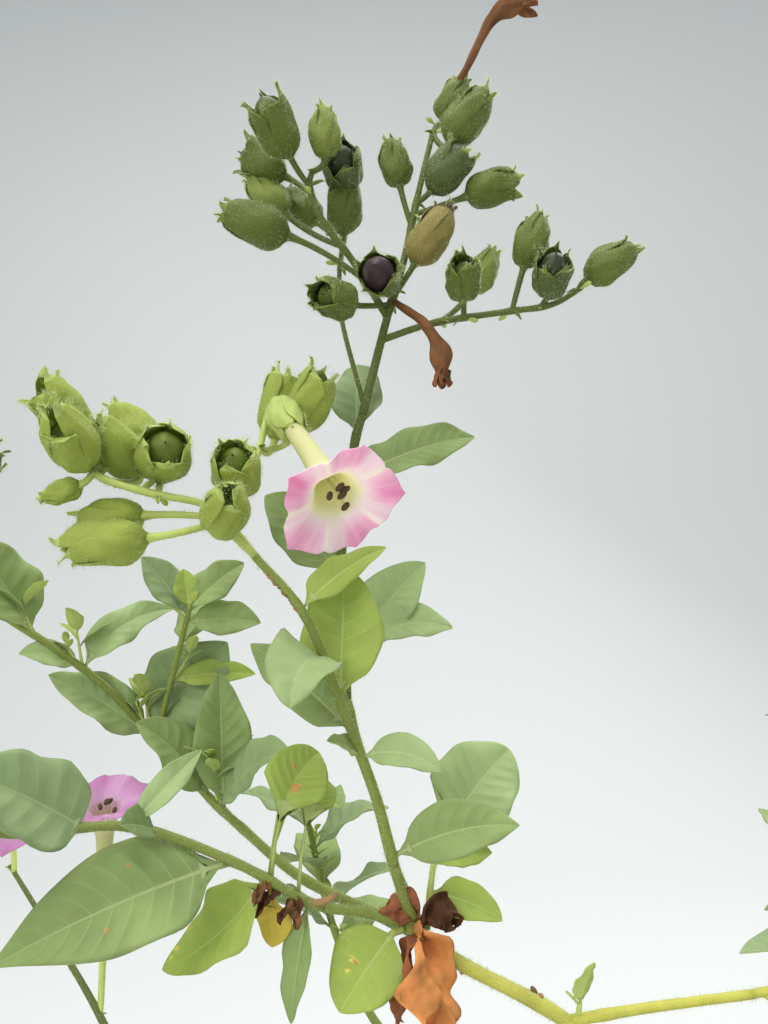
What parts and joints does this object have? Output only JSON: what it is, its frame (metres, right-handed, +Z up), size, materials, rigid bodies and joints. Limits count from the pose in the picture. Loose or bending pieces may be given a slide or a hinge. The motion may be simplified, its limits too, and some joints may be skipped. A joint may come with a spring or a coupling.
{
  "type": "tobacco plant",
  "caption": "Branching tobacco plant in flower and seed: a leaning main stem, side boughs, oval leaves, heads of lobed seed capsules and pink trumpet flowers.",
  "frame": {"origin": "middle of the flat cut at ground level under the main stem", "axes": "+Z up; +X to the right and +Y to the back, seen from the side that the open flower faces"},
  "size_m": [0.4883, 0.2744, 0.6947],
  "materials": {
    "stem": "matt green stem, ribbed, with short hairs",
    "leaf": "soft matt leaf",
    "fruit": "waxy green capsule in a hairy calyx",
    "petal": "soft matt petal",
    "withered": "dry crumpled leaf"
  },
  "bodies": {
    "root": {"main_stem": "stem", "left_bough": "stem", "front_bough": "stem", "rear_bough": "stem", "back_left_bough": "stem", "right_bough": "stem", "back_bough": "stem", "back_right_bough": "stem", "front_right_bough": "stem", "low_left_bough": "stem", "low_right_bough": "stem", "front_leaves": "leaf", "rear_leaves": "leaf", "fork_shoot": "leaf", "fork_leaf": "leaf", "axil_sprout": "leaf", "left_leaves": "leaf", "back_left_leaves": "leaf", "right_leaves": "leaf", "back_right_leaves": "leaf", "front_right_leaves": "leaf", "low_left_leaves": "leaf", "back_leaves": "leaf", "low_right_leaves": "leaf", "withered_leaves": "withered", "front_fruits": "fruit", "rear_fruits": "fruit", "left_fruits": "fruit", "low_left_fruits": "fruit", "back_left_fruits": "fruit", "right_fruits": "fruit", "back_right_fruits": "fruit", "front_right_fruits": "fruit", "front_flower": "petal", "left_flower": "petal", "left_edge_flower": "petal", "back_right_flower": "petal", "front_right_flower": "petal"}
  },
  "joints": []
}
